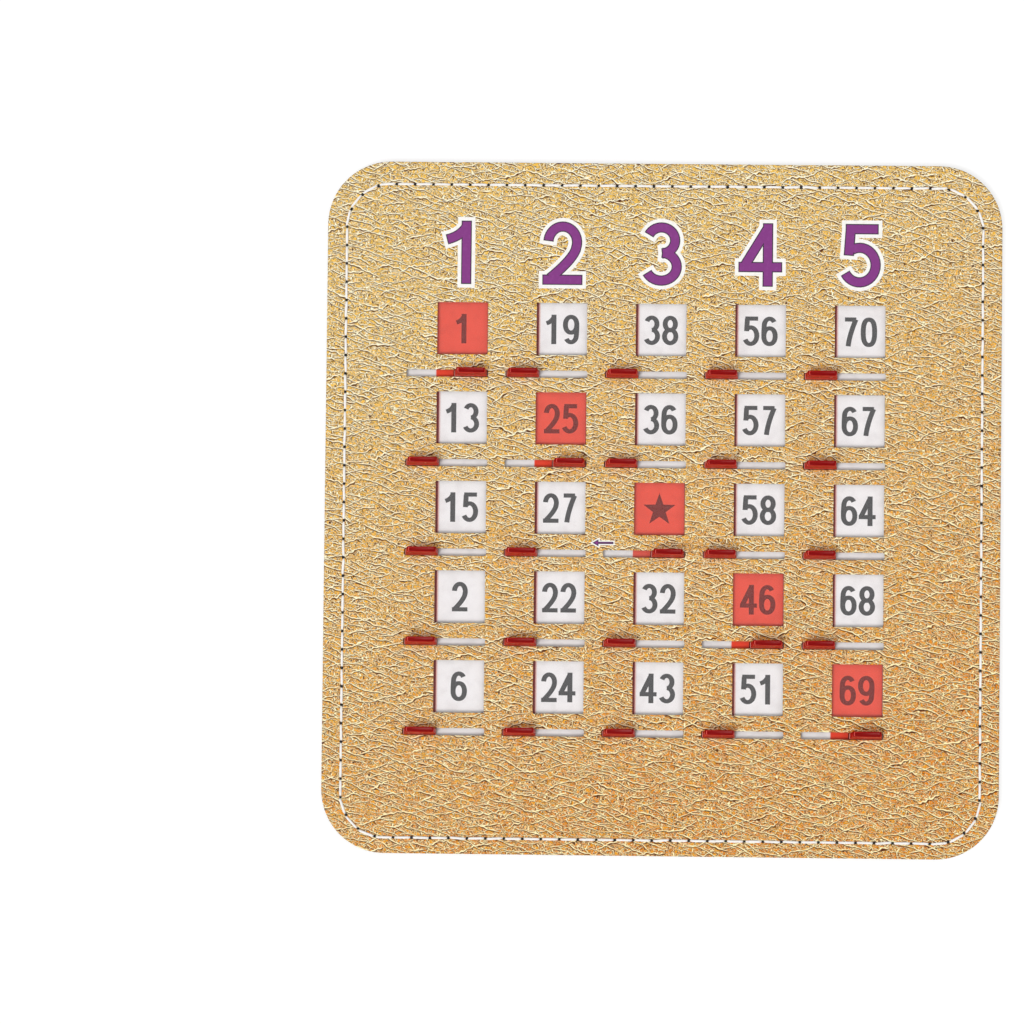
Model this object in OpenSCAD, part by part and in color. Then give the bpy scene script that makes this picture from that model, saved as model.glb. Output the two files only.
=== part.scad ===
// Bingo card with sliding shutters and a quick-clear slide.
// The card lies on its back: X to the right, Y to the card's top, Z out of its face.
// The origin is the middle of the back face. Sizes are in millimetres.

/* [Card] */
// Radius of the card's outer corners
corner_r = 22; // [14:1:40]
// Board left of the clearing sheet's way
rim_w = 8.35; // [7.5:0.05:20]
// Distance from the last window to the card's right edge
right_border = 40.4; // [24:0.1:60]
// Distance from the clearing sheet's way to the card's upper edge
head_h = 47.6; // [10:0.1:70]
// Distance from the clearing sheet's way to the card's lower edge
foot_h = 37; // [10:0.1:60]

/* [Layers, from the back] */
// Thickness of the leatherette on the back
back_cover_t = 0.45; // [0.4:0.05:1.2]
// Thickness of the back board
back_board_t = 0.7; // [0.4:0.05:2]
// Thickness of the printed number sheet
number_sheet_t = 0.15; // [0.1:0.05:0.4]
// Thickness of the board that guides the shutters in rows
guide_t = 0.5; // [0.4:0.05:1]
// Thickness of the frame round the clearing sheet
frame_t = 0.5; // [0.4:0.05:1]
// Thickness of the front board
front_board_t = 0.6; // [0.4:0.05:2]
// Thickness of the leatherette on the front
front_cover_t = 0.45; // [0.4:0.05:1.2]

/* [Squares] */
// Squares in a row
columns = 5; // [3:1:5]
// Rows of squares
rows = 5; // [3:1:5]
// Width of a window
window_w = 17.6; // [17:0.1:18.5]
// Height of a window
window_h = 18.2; // [16:0.1:18.6]

/* [Slots] */
// Distance from a window's lower edge to the slot below it
slot_drop = 5.4; // [4:0.1:5.8]
// Width of a slot, across the slide
slot_w = 2.5; // [2.4:0.1:3.2]
// Radius of a slot's corners
slot_r = 0.6; // [0.2:0.1:1.1]

/* [Shutters] */
// How far each shutter slides
travel = 16.4; // [14:0.1:18]
// Strip of board left between two rows of shutters
strip_w = 2.6; // [1.5:0.1:6]
// How far a closed plate reaches past the window's left edge
lap_left = 0.3; // [0.1:0.1:0.8]
// How far a closed plate reaches past the window's right edge
lap_right = 0.1; // [0.1:0.1:0.8]
// How far a plate reaches above the window
lap_above = 1.2; // [0.5:0.1:1.6]
// How far a plate reaches below its slot
lap_below = 0.9; // [0.5:0.1:1.4]
// Radius of a plate's corners
plate_r = 0.8; // [0.3:0.1:2]
// Length of the finger tab at its foot, along the slide
tab_l = 11.4; // [8:0.1:14]
// Distance from the tab's foot to the plate's right edge
tab_inset = 0.2; // [0:0.1:2]
// Thickness of the finger tab at its foot
tab_t = 2.1; // [1.6:0.1:2.2]
// How far the tab stands above the face
tab_rise = 4.8; // [2:0.1:8]
// How far each end of the tab leans in on its way up
tab_end_lean = 0.8; // [0:0.1:2]
// How far each long side of the tab leans in
tab_side_lean = 0.1; // [0:0.05:0.3]
// How far the tab's tip stands towards the card's top
tab_tip_lean = 0.9; // [0:0.1:1.2]
// Radius of the tab's two upper corners
tab_corner_r = 0.6; // [0.4:0.1:2]
// Radius along the tab's long upper edges
tab_edge_r = 0.35; // [0.1:0.05:0.45]

/* [Clearing sheet] */
// Width of sheet left beyond its outer slots
sheet_margin = 3; // [2:0.1:4]
// Radius of the sheet's corners
sheet_r = 3; // [1:0.5:8]

/* [Stitching] */
// Distance from the card's edge to the stitched line
stitch_inset = 6.7; // [6:0.1:7.2]
// How far the stitched line sits below the card's middle
stitch_sink = 1.2; // [0:0.1:2]
// Distance from one stitch to the next
stitch_pitch = 6.4; // [5:0.1:9]
// Length of a stitch
stitch_l = 5.2; // [3:0.1:6]
// Diameter of the thread
thread_d = 0.8; // [0.5:0.05:1]
// Width of the groove that the seam presses into the cover
groove_w = 1.4; // [1.1:0.1:2]
// Depth of that groove in the front cover
groove_depth = 0.2; // [0.1:0.05:0.3]
// Thickness of the thread where it is pressed flat on the back
flat_thread_t = 0.3; // [0.2:0.05:0.4]

/* [Clearances] */
// Gap above and below each thin piece that slides
slide_gap = 0.1; // [0.05:0.01:0.12]
// Gap at the sides of the slides
side_gap = 0.2; // [0.1:0.05:0.3]
// Gap between a closed plate and its open neighbour
plate_gap = 0.2; // [0.1:0.05:0.4]
// Gap between a tab and the end of its slot
tab_gap = 0.35; // [0.1:0.05:0.5]
// Gap between the clearing sheet and the tab that pulls it
grip_gap = 0.05; // [0.03:0.01:0.1]

/* [Hidden] */
$fn = 48;
overrun = 1;

// Square that clears the card, counted from the top left one
clear_row = floor(rows / 2);
clear_col = floor(columns / 2);

// Height of each layer's lower face
back_board_z = back_cover_t;
number_sheet_z = back_board_z + back_board_t;
guide_z = number_sheet_z + number_sheet_t;
frame_z = guide_z + guide_t;
front_board_z = frame_z + frame_t;
front_cover_z = front_board_z + front_board_t;
face_z = front_cover_z + front_cover_t;

// Shutter, measured from the middle of its window when it is closed
plate_w = lap_left + window_w + lap_right;
plate_left = -window_w / 2 - lap_left;
plate_right = window_w / 2 + lap_right;
plate_top = window_h / 2 + lap_above;
slot_y = -window_h / 2 - slot_drop - slot_w / 2;
plate_bottom = slot_y - slot_w / 2 - lap_below;
plate_t = guide_t - 2 * slide_gap;
plate_z = guide_z + slide_gap;
tab_right = plate_right - tab_inset;
tab_left = tab_right - tab_l;
tab_top = face_z + tab_rise;
tab_neck = face_z - plate_z;

// An open shutter stands its travel left of the window, clear of its neighbour
column_pitch = plate_w + travel + plate_gap;
row_pitch = plate_top - plate_bottom + 2 * side_gap + strip_w;
slot_left = tab_left - travel - tab_gap;
slot_right = tab_right + tab_gap;
slot_l = slot_right - slot_left;

// Card, from the way of the clearing sheet and the borders round it
sheet_reach = travel + side_gap + sheet_margin - slot_left;
way_h = (rows - 1) * row_pitch + plate_top - plate_bottom + sheet_margin + 2 * side_gap;
card_w = rim_w + sheet_reach + (columns - 1) * column_pitch + window_w / 2 + right_border;
card_h = head_h + way_h + foot_h;

// Clearing sheet at rest, at the right end of its frame
sheet_t = frame_t - 2 * slide_gap;
sheet_z = frame_z + slide_gap;
sheet_left = column_x(0) + slot_left - sheet_margin;
sheet_right = column_x(columns - 1) + slot_right + sheet_margin;
sheet_top = row_y(0) + plate_top;
sheet_bottom = row_y(rows - 1) + plate_bottom - sheet_margin;

// Stitched line: a rounded rectangle, walked from the right end of its top side
seam_w = card_w - 2 * stitch_inset;
seam_h = card_h - 2 * stitch_inset;
seam_r = corner_r - stitch_inset;
seam_sides = [seam_h - 2 * seam_r, seam_w - 2 * seam_r, seam_h - 2 * seam_r, seam_w - 2 * seam_r];
seam_bend = PI / 2 * seam_r;
seam_l = seam_sides[0] + seam_sides[1] + seam_sides[2] + seam_sides[3] + 4 * seam_bend;
stitch_count = round(seam_l / stitch_pitch);
// How thin a stitch gets at its needle holes, and how soon
stitch_end_share = 0.45;
stitch_taper_share = 0.18;

// Marked squares at rest: the diagonal from the top left, through the clearing square
function is_closed(row, col) = row == col;

function column_x(col) = rim_w + sheet_reach - card_w / 2 + col * column_pitch;
function row_y(row) = card_h / 2 - head_h - side_gap - plate_top - row * row_pitch;
function rest_x(row, col) = column_x(col) - (is_closed(row, col) ? 0 : travel);

function is_clear(row, col) = row == clear_row && col == clear_col;
function shutter_name(row, col) =
    is_clear(row, col) ? "clear_shutter" : str("shutter_row", row + 1, "_col", col + 1);

// Centres of the seam's four corners, clockwise from the top right one
function seam_corner(i) =
    [(i < 2 ? 1 : -1) * (seam_w / 2 - seam_r), (i == 0 || i == 3 ? 1 : -1) * (seam_h / 2 - seam_r)];

// Length of the seam before its corner i, each corner being followed by one side
function seam_before(i) = i == 0 ? 0 : seam_before(i - 1) + seam_bend + seam_sides[i - 1];

// Corner that the seam has reached at length s, and the place [x, y, heading] there
function seam_index(s) = s < seam_before(1) ? 0 : s < seam_before(2) ? 1 : s < seam_before(3) ? 2 : 3;
function seam_place(s) = let (i = seam_index(s), past = s - seam_before(i)) past < seam_bend
    ? let (a = 90 - 90 * (i + past / seam_bend))
        concat(seam_corner(i) + seam_r * [cos(a), sin(a)], [a - 90])
    : let (a = -90 * i)
        concat(seam_corner(i) + seam_r * [cos(a), sin(a)]
            + (past - seam_bend) * [sin(a), -cos(a)], [a - 90]);

// Rectangle w by h with round corners, centred
module rounded(w, h, r) {
    square([w - 2 * r, h], center = true);
    square([w, h - 2 * r], center = true);
    for (x = [-1, 1], y = [-1, 1])
        translate([x * (w / 2 - r), y * (h / 2 - r)]) circle(r);
}

// Upright outline from its lower left corner: straight up to the neck, then each side leans in by
// its own amount and passes into the top by an arc that touches both
module crowned(w, h, neck, r, left_lean, right_lean) {
    rise = h - neck;
    left_l = norm([left_lean, rise]);
    right_l = norm([right_lean, rise]);
    left_x = (r * left_l + (rise - r) * left_lean) / rise;
    right_x = w - (r * right_l + (rise - r) * right_lean) / rise;
    polygon([
        [0, 0], [0, neck],
        [left_x - r * rise / left_l, h - r + r * left_lean / left_l], [left_x, h], [right_x, h],
        [right_x + r * rise / right_l, h - r + r * right_lean / right_l], [w, neck], [w, 0]
    ]);
    for (x = [left_x, right_x]) translate([x, h - r]) circle(r);
}

// Rectangle between two corners, with round corners
module panel(left, bottom, right, top, r) {
    translate([(left + right) / 2, (bottom + top) / 2])
        rounded(right - left, top - bottom, r);
}

// A full layer of the card, t thick, from height z
module layer(z, t) {
    translate([0, 0, z]) linear_extrude(t) rounded(card_w, card_h, corner_r);
}

// Cuts through the layer that lies between z and z + t
module cut_through(z, t) {
    translate([0, 0, z - overrun]) linear_extrude(t + 2 * overrun) children();
}

module at_each_square() {
    for (row = [0 : rows - 1], col = [0 : columns - 1])
        translate([column_x(col), row_y(row)]) children();
}

module window_outline() {
    square([window_w, window_h], center = true);
}

module slot_outline() {
    translate([slot_left + slot_l / 2, slot_y]) rounded(slot_l, slot_w, slot_r);
}

// The band that the seam presses into a cover
module groove_outline() {
    translate([0, -stitch_sink]) difference() {
        rounded(seam_w + groove_w, seam_h + groove_w, seam_r + groove_w / 2);
        rounded(seam_w - groove_w, seam_h - groove_w, seam_r - groove_w / 2);
    }
}

// Puts a stitch that lies along X at each place of the seam
module along_seam() {
    for (i = [0 : stitch_count - 1]) {
        place = seam_place(i * seam_l / stitch_count);
        translate([place[0], place[1] - stitch_sink]) rotate(place[2]) children();
    }
}

module front_cover() {
    color("goldenrod") difference() {
        layer(front_cover_z, front_cover_t);
        cut_through(front_cover_z, front_cover_t) at_each_square() {
            window_outline();
            slot_outline();
        }
        translate([0, 0, face_z - groove_depth])
            linear_extrude(groove_depth + overrun) groove_outline();
    }
}

module front_board() {
    color("tan") difference() {
        layer(front_board_z, front_board_t);
        cut_through(front_board_z, front_board_t) at_each_square() {
            window_outline();
            slot_outline();
        }
    }
}

// The frame is open over the whole way of the clearing sheet
module slide_frame() {
    color("tan") difference() {
        layer(frame_z, frame_t);
        cut_through(frame_z, frame_t)
            panel(sheet_left - travel - side_gap, sheet_bottom - side_gap,
                sheet_right + side_gap, sheet_top + side_gap, sheet_r);
    }
}

// Its long slots leave each tab free, and push it home when the sheet goes left
module clearing_sheet() {
    color("whitesmoke", 0.4) difference() {
        translate([0, 0, sheet_z]) linear_extrude(sheet_t)
            panel(sheet_left, sheet_bottom, sheet_right, sheet_top, sheet_r);
        cut_through(sheet_z, sheet_t)
            for (row = [0 : rows - 1], col = [0 : columns - 1])
                translate([column_x(col), row_y(row)])
                    if (is_clear(row, col)) grip_outline(); else slot_outline();
    }
}

// The short slot holds the clearing tab at both ends
module grip_outline() {
    grip_l = tab_l + 2 * grip_gap;
    translate([tab_left + tab_l / 2, slot_y]) square([grip_l, slot_w], center = true);
}

// One channel for each row of shutters, with a strip of board between the rows
module guide_board() {
    color("tan") difference() {
        layer(guide_z, guide_t);
        cut_through(guide_z, guide_t) for (row = [0 : rows - 1])
            panel(column_x(0) + plate_left - travel - side_gap,
                row_y(row) + plate_bottom - side_gap,
                column_x(columns - 1) + plate_right + side_gap,
                row_y(row) + plate_top + side_gap, plate_r);
    }
}

module number_sheet() {
    color("white") layer(number_sheet_z, number_sheet_t);
}

module back_board() {
    color("tan") layer(back_board_z, back_board_t);
}

module back_cover() {
    color("goldenrod") difference() {
        layer(0, back_cover_t);
        translate([0, 0, -overrun])
            linear_extrude(flat_thread_t + overrun) groove_outline();
    }
}

// Thin translucent plate that covers the window, with its tab through the slots
module shutter(row, col) {
    color("red", 0.8) translate([rest_x(row, col), row_y(row), 0]) {
        translate([0, 0, plate_z]) linear_extrude(plate_t)
            panel(plate_left, plate_bottom, plate_right, plate_top, plate_r);
        finger_tab();
    }
}

// Its side view gives the leaning ends, its end view the two long sides and the leaning tip
module finger_tab() {
    tab_h = tab_top - plate_z;
    reach = tab_t / 2 + tab_tip_lean;
    translate([tab_left, slot_y, plate_z]) intersection() {
        translate([0, reach, 0]) rotate([90, 0, 0]) linear_extrude(2 * reach)
            crowned(tab_l, tab_h, tab_neck, tab_corner_r, tab_end_lean, tab_end_lean);
        translate([0, -tab_t / 2, 0]) rotate([90, 0, 90]) linear_extrude(tab_l)
            crowned(tab_t, tab_h, tab_neck, tab_edge_r,
                tab_side_lean + tab_tip_lean, tab_side_lean - tab_tip_lean);
    }
}

// Round thread that lies in the groove and thins out at both needle holes
module front_stitching() {
    end_r = thread_d / 2 * stitch_end_share;
    body_l = stitch_l * (1 - 2 * stitch_taper_share);
    color("white") translate([0, 0, face_z - groove_depth + thread_d / 2]) along_seam()
        rotate([0, 90, 0]) rotate_extrude() polygon([
            [0, -stitch_l / 2], [end_r, -stitch_l / 2], [thread_d / 2, -body_l / 2],
            [thread_d / 2, body_l / 2], [end_r, stitch_l / 2], [0, stitch_l / 2]
        ]);
}

// Thread pressed flat into the groove, flush with the back
module back_stitching() {
    color("white") along_seam() linear_extrude(flat_thread_t) {
        square([stitch_l - thread_d, thread_d], center = true);
        for (end = [-1, 1])
            translate([end * (stitch_l - thread_d) / 2, 0]) circle(thread_d / 2);
    }
}

front_cover();
front_board();
slide_frame();
clearing_sheet();
guide_board();
number_sheet();
back_board();
back_cover();
front_stitching();
back_stitching();
for (row = [0 : rows - 1], col = [0 : columns - 1])
    shutter(row, col);
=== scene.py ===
import math

import bmesh
import bpy
import numpy as np
from mathutils import Matrix, Vector


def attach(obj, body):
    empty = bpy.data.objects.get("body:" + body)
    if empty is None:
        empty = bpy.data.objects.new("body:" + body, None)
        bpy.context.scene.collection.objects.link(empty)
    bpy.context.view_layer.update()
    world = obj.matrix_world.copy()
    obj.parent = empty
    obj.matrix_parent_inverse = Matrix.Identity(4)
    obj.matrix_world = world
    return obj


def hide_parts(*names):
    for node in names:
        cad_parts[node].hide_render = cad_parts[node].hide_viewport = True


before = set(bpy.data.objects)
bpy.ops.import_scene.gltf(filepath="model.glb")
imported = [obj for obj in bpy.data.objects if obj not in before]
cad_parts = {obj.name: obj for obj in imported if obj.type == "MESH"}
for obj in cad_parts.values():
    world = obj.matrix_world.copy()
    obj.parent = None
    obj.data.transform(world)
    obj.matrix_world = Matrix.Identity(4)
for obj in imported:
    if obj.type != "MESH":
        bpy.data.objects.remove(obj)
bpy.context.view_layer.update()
print("frame loaded:", len(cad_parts), "nodes")

mm = 0.001  # lengths below are in millimetres, in the frame of the CAD model

# The card: it lies on its back, X to the right, Y to its top, Z out of its face. coverZ and backZ are the
# heights at which the front and the back leatherette are glued on.
card = {
    "halfWidth": 117.5, "halfHeight": 120.5, "corner": 22.0, "faceZ": 3.35, "coverZ": 2.9, "backZ": 0.45,
    "firstX": -70.1, "columnPitch": 34.6, "firstY": 62.4, "rowPitch": 31.2, "squares": 5,
    "windowHalfX": 8.8, "windowHalfY": 9.1,
    "slotMiddleX": -5.2, "slotMiddleY": -15.75, "slotHalfX": 14.25, "slotHalfY": 1.25, "slotCorner": 0.6,
}
columnX = card["firstX"] + card["columnPitch"] * np.arange(card["squares"])
rowY = card["firstY"] - card["rowPitch"] * np.arange(card["squares"])
slotX, slotY = columnX + card["slotMiddleX"], rowY + card["slotMiddleY"]


# A colour as a paint programme shows it, 0 to 255, turned into what the shaders take
def tone(red, green, blue):
    share = np.array([red, green, blue]) / 255
    return tuple(np.where(share <= 0.04045, share / 12.92, ((share + 0.055) / 1.055) ** 2.4).tolist())


def fillSocket(tree, socket, value):
    if isinstance(value, Field):
        tree.links.new(value.socket, socket)
    elif socket.type == "RGBA" and len(value) == 3:
        socket.default_value = (*value, 1.0)
    else:
        socket.default_value = value


# A number, colour or vector that changes over a surface; sums and products add Math nodes
class Field:
    def __init__(self, tree, socket):
        self.tree, self.socket = tree, socket

    def reckon(self, operation, first, second=None, third=None):
        made = self.tree.nodes.new("ShaderNodeMath")
        made.operation = operation
        for socket, value in zip(made.inputs, (first, second, third)):
            if value is not None:
                fillSocket(self.tree, socket, value)
        return Field(self.tree, made.outputs[0])

    def __add__(self, other):
        return self.reckon("ADD", self, other)

    def __sub__(self, other):
        return self.reckon("SUBTRACT", self, other)

    def __rsub__(self, other):
        return self.reckon("SUBTRACT", other, self)

    def __mul__(self, other):
        return self.reckon("MULTIPLY", self, other)

    def __truediv__(self, other):
        return self.reckon("DIVIDE", self, other)

    def __rtruediv__(self, other):
        return self.reckon("DIVIDE", other, self)

    def __abs__(self):
        return self.reckon("ABSOLUTE", self)

    __radd__ = __add__
    __rmul__ = __mul__

    def most(self, other):
        return self.reckon("MAXIMUM", self, other)

    def least(self, other):
        return self.reckon("MINIMUM", self, other)

    # 0 to 1 squeezed into low to 1
    def lifted(self, low):
        return self * (1 - low) + low


# A material being made: its nodes, and the place on the object in millimetres
class Finish:
    def __init__(self, name):
        self.material = bpy.data.materials.new(name)
        self.material.use_nodes = True
        self.tree = self.material.node_tree
        self.tree.nodes.clear()
        place = self.node("TexCoord", {}, {}, "Object")
        self.place = self.node("VectorMath", {"operation": "SCALE"}, {0: place, "Scale": 1 / mm})
        parts = self.tree.nodes.new("ShaderNodeSeparateXYZ")
        self.tree.links.new(self.place.socket, parts.inputs[0])
        self.x, self.y, self.z = (Field(self.tree, parts.outputs[i]) for i in range(3))

    # One node of a kind: its settings first, then the values or links of its sockets
    def node(self, kind, settings, sockets, output=0):
        made = self.tree.nodes.new("ShaderNode" + kind)
        for key, value in settings.items():
            if key == "stops":
                ramp = made.color_ramp
                while len(ramp.elements) < len(value):
                    ramp.elements.new(1.0)
                for element, (position, colour) in zip(ramp.elements, value):
                    element.position, element.color = position, (*colour, 1.0)
            else:
                setattr(made, key, value)
        for key, value in sockets.items():
            fillSocket(self.tree, made.inputs[key], value)
        return Field(self.tree, made.outputs[output]) if len(made.outputs) else None

    def blend(self, factor, first, second):
        return self.node("Mix", {"data_type": "RGBA"}, {0: factor, 6: first, 7: second}, 2)

    # Smooth step of a field: 0 below low, 1 above high, or the other way when low is the larger
    def step(self, field, low, high):
        return self.node("MapRange", {"interpolation_type": "SMOOTHSTEP"},
                         {"Value": field, "From Min": min(low, high), "From Max": max(low, high),
                          "To Min": float(low > high), "To Max": float(low <= high)})

    # Blends a colour in where a field goes from low to high, by up to a share
    def stain(self, base, colour, field, low, high, share):
        return self.blend(self.step(field, low, high) * share, base, colour)

    def noise(self, size, detail=2.0, roughness=0.5, at=None, kind="2D", output=0):
        return self.node("TexNoise", {"noise_dimensions": kind},
                         {"Vector": at or self.place, "Scale": 1 / size, "Detail": detail,
                          "Roughness": roughness}, output)

    # The place turned and divided by the two sizes, so that a pattern of unit cells fits them
    def cells(self, at, sizeX, sizeY, turn):
        return self.node("Mapping", {"vector_type": "TEXTURE"},
                         {"Vector": at, "Rotation": (0, 0, math.radians(turn)), "Scale": (sizeX, sizeY, 1.0)})

    # The place pushed about by soft noise of a size, by up to half the reach either way
    def swayed(self, at, size, reach):
        push = self.noise(size, 1.0, at=at, output=1)
        push = self.node("VectorMath", {"operation": "SUBTRACT"}, {0: push, 1: (0.5, 0.5, 0.5)})
        push = self.node("VectorMath", {"operation": "MULTIPLY"}, {0: push, 1: (reach, reach, 0.0)})
        return self.node("VectorMath", {"operation": "ADD"}, {0: at, 1: push})

    def bump(self, height, depth):
        return self.node("Bump", {}, {"Height": height, "Distance": depth * mm})

    def surface(self, **sockets):
        names = {key: key.replace("_", " ") for key in sockets}
        return self.node("BsdfPrincipled", {}, {names[key]: value for key, value in sockets.items()})

    def finish(self, shader):
        self.node("OutputMaterial", {}, {"Surface": shader})
        return self.material


print("materials")

leatherLook = {
    "creases": (
        {"spacing": 2.2, "turn": -20.0, "spread": 0.074,
         "bends": ((7.5, 1.0), (1.7, 0.24)), "kept": (9.0, 4.5)},
        {"spacing": 3.4, "turn": 14.0, "spread": 0.05,
         "bends": ((9.0, 1.0), (1.5, 0.22)), "kept": (7.0, 4.0)},
    ),
    "keptFrom": (0.40, 0.50),  # the noise at which a crease fades in
    "ridge": 0.6,  # where in each step a crease has its top
    "shadeOffset": 1.8, "shadeSpread": (1.1, 0.6),  # the painted shade beside it, in spreads of the crease
    "fold": {"cell": (3.0, 1.7, -12.0), "sway": (1.2, 1.0), "line": (0.08, 0.03), "shade": (0.2, 0.12),
             "level": (0.20, 0.04), "levelRise": 0.06, "below": (-0.1, 0.14), "leastShade": 0.4},
    # the grain's upper level is painted as thin highlights, and the lower level beside it as painted shade
    "grain": {"cell": (1.0, 0.66, -14.0), "sway": (0.8, 1.0), "highlight": (0.51, 0.07, 0.03),
              "dark": (0.40, 0.08, 0.04)},
    "strength": {"size": 2.7, "from": (0.38, 0.54), "least": 0.35, "leastCrease": 0.85},
    "foldShade": 0.9, "grainPaintedHighlight": 0.85, "depth": 0.03, "darkDepth": 0.4, "rough": 0.6, "roughChange": 0.2,
    "slope": (0.0020, -0.0050, 0.50),  # from pale to orange: change per mm along X and Y, value at the middle
    "patch": 2.6, "patchFrom": (0.46, 0.60, 0.35), "mottle": 0.55, "mottleFrom": (0.56, 0.34, 0.2),
    # pale, orange and yellow are the leather's own tones; cream is a painted highlight on the tops, and brown
    # is both a stain in mottled patches and painted shade beside the creases
    "pale": tone(251, 203, 90), "orange": tone(232, 138, 14), "yellow": tone(252, 196, 48),
    "highlightCream": (tone(255, 252, 226), tone(255, 246, 194)), "brownStainAndShade": tone(84, 36, 0), "shine": 0.2,
}


# Leatherette: two crossing families of creases, each at even steps across a leaning direction, bent and
# broken up by soft noise; between them folds, the edges of swayed cells, and a grain of thin lines where a
# fine noise passes two levels. The tops are painted cream as a highlight, with painted brown shade beside
# them, most of it below.
def leatherFinish(name, look):
    f = Finish(name)

    def creases(given):
        turn, spacing, spread = math.radians(given["turn"]), given["spacing"], given["spread"]
        total = f.x * (-math.sin(turn) / spacing) + f.y * (math.cos(turn) / spacing)
        for size, reach in given["bends"]:
            total = total + f.noise(size, 0.0) * reach
        past = total.reckon("FRACT", total) - look["ridge"]
        patches = f.noise(1.0, 0.0, at=f.cells(f.place, *given["kept"], given["turn"]))
        kept = f.step(patches, *look["keptFrom"])
        outer, inner = (spread * part for part in look["shadeSpread"])
        # the brown beside each crease is painted shade, set off to one side of it
        shade = f.step(abs(past + look["shadeOffset"] * spread), outer, inner)
        return f.step(abs(past), spread, spread / 2) * kept, shade * kept

    def folds(given):
        at = f.cells(f.swayed(f.place, *given["sway"]), *given["cell"])
        cells = {"Vector": at, "Scale": 1.0}
        centre = f.node("TexVoronoi", {"voronoi_dimensions": "2D"}, cells, "Position")
        edge = f.node("TexVoronoi", {"feature": "DISTANCE_TO_EDGE", "voronoi_dimensions": "2D"}, cells)
        fromCentre = f.node("VectorMath", {"operation": "SUBTRACT"}, {0: at, 1: centre})
        up = f.node("SeparateXYZ", {}, {0: fromCentre}, 1)
        edge = edge + f.step(abs(up), *given["level"]) * given["levelRise"]
        line = f.step(edge, *given["line"])
        # the shade beside each fold's edge is painted, strongest below it
        shade = (f.step(edge, *given["shade"]) - line).most(0.0)
        return line, shade * f.step(up, *given["below"]).lifted(given["leastShade"])

    (crease, creasePaintedShade), (across, acrossPaintedShade) = (creases(given) for given in look["creases"])
    fold, foldPaintedShade = folds(look["fold"])
    grain, strength = look["grain"], look["strength"]
    rough = f.noise(1.0, 0.0, at=f.cells(f.swayed(f.place, *grain["sway"]), *grain["cell"]))
    # thin painted highlights at one noise level, and painted shade at the level beside it
    fine, finePaintedShade = (f.step(abs(rough - level), *widths)
                      for level, *widths in (grain["highlight"], grain["dark"]))
    strong = f.step(f.noise(strength["size"], 1.0), *strength["from"]).lifted(strength["least"])
    # pale gathers the painted highlights and dark the painted shade beside them; both also give the bump
    pale = crease.most(across) * strong.lifted(strength["leastCrease"])
    dark = creasePaintedShade.most(acrossPaintedShade) * (1 - pale)
    for highlight, shade in ((fold * strong, foldPaintedShade * look["foldShade"]),
                         (fine * look["grainPaintedHighlight"], finePaintedShade)):
        rest = (1 - (pale + dark)).most(0.0)
        pale, dark = pale.most(highlight * rest), dark.most(shade * rest)

    mottle = f.noise(look["mottle"], 1.0)
    slopeX, slopeY, slopeMiddle = look["slope"]
    slope = (f.x * slopeX + f.y * slopeY + slopeMiddle).most(0.0).least(1.0)
    base = f.blend(slope, look["pale"], look["orange"])
    base = f.stain(base, look["yellow"], f.noise(look["patch"], 1.0), *look["patchFrom"])
    base = f.stain(base, look["brownStainAndShade"], mottle, *look["mottleFrom"])
    # the painted shade, then the painted highlight, laid over the leather's own colour
    base = f.blend(dark, base, look["brownStainAndShade"])
    base = f.blend(pale, base, f.blend(slope, *look["highlightCream"]))
    return f.finish(f.surface(Base_Color=base, Roughness=look["rough"] - mottle * look["roughChange"],
                              Specular_IOR_Level=look["shine"],
                              Normal=f.bump(pale - dark * look["darkDepth"], look["depth"])))


boardLook = {
    "grey": tone(206, 198, 182), "tan": tone(222, 212, 190), "dark": tone(112, 100, 82),
    "layers": (0.0, 0.30, 0.45, 0.62, 0.85), "joints": (0.45, 1.15, 1.8, 2.3), "jointHalf": 0.05,
    "jointShare": 0.6, "fibre": 2.4, "streakScale": (0.35, 0.35, 6.0), "streaksFrom": (0.35, 0.65, 0.5),
    "rough": 0.9, "depth": 0.08,
}


# Pressed board: each layer its own tone, a dark line where two layers meet, long fibres along the cut
def boardFinish(name, look):
    f = Finish(name)
    tones = look["tan"], look["grey"]
    stops = [(place, tones[order % 2]) for order, place in enumerate(look["layers"])]
    layers = f.node("ValToRGB", {"stops": stops}, {"Fac": f.z / card["faceZ"]})
    fibres = f.noise(1.0, 3.0, 0.7, f.cells(f.place, look["fibre"], look["fibre"], 0.0), "3D")
    streaks = f.noise(1.0, 3.0, at=f.node("Mapping", {}, {"Vector": f.place, "Scale": look["streakScale"]}),
                      kind="3D")
    gap = 0.0
    for height in look["joints"]:
        gap = f.step(abs(f.z - height), look["jointHalf"], 0.0).most(gap)
    base = f.stain(layers, look["dark"], streaks, *look["streaksFrom"])
    base = f.blend(gap * look["jointShare"], base, look["dark"])
    return f.finish(f.surface(Base_Color=base, Roughness=look["rough"],
                              Normal=f.bump(streaks + fibres, look["depth"])))


paperLook = {"white": tone(240, 236, 237), "grey": tone(226, 221, 222), "cloud": 5.0,
             "greyFrom": (0.4, 0.75, 0.6), "fibre": 0.3, "rough": 0.6, "roughChange": 0.2, "depth": 0.004}


# Paper: white with soft grey clouds and short fibres
def paperFinish(name, look):
    f = Finish(name)
    cloud = f.noise(look["cloud"], 3.0)
    base = f.stain(look["white"], look["grey"], cloud, *look["greyFrom"])
    return f.finish(f.surface(Base_Color=base, Roughness=look["rough"] + cloud * look["roughChange"],
                              Normal=f.bump(f.noise(look["fibre"], 2.0), look["depth"])))


inkLook = {"cloud": 1.6, "wornFrom": (0.45, 0.8), "roughChange": 0.1, "grain": 0.9, "depth": 0.012}


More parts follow.
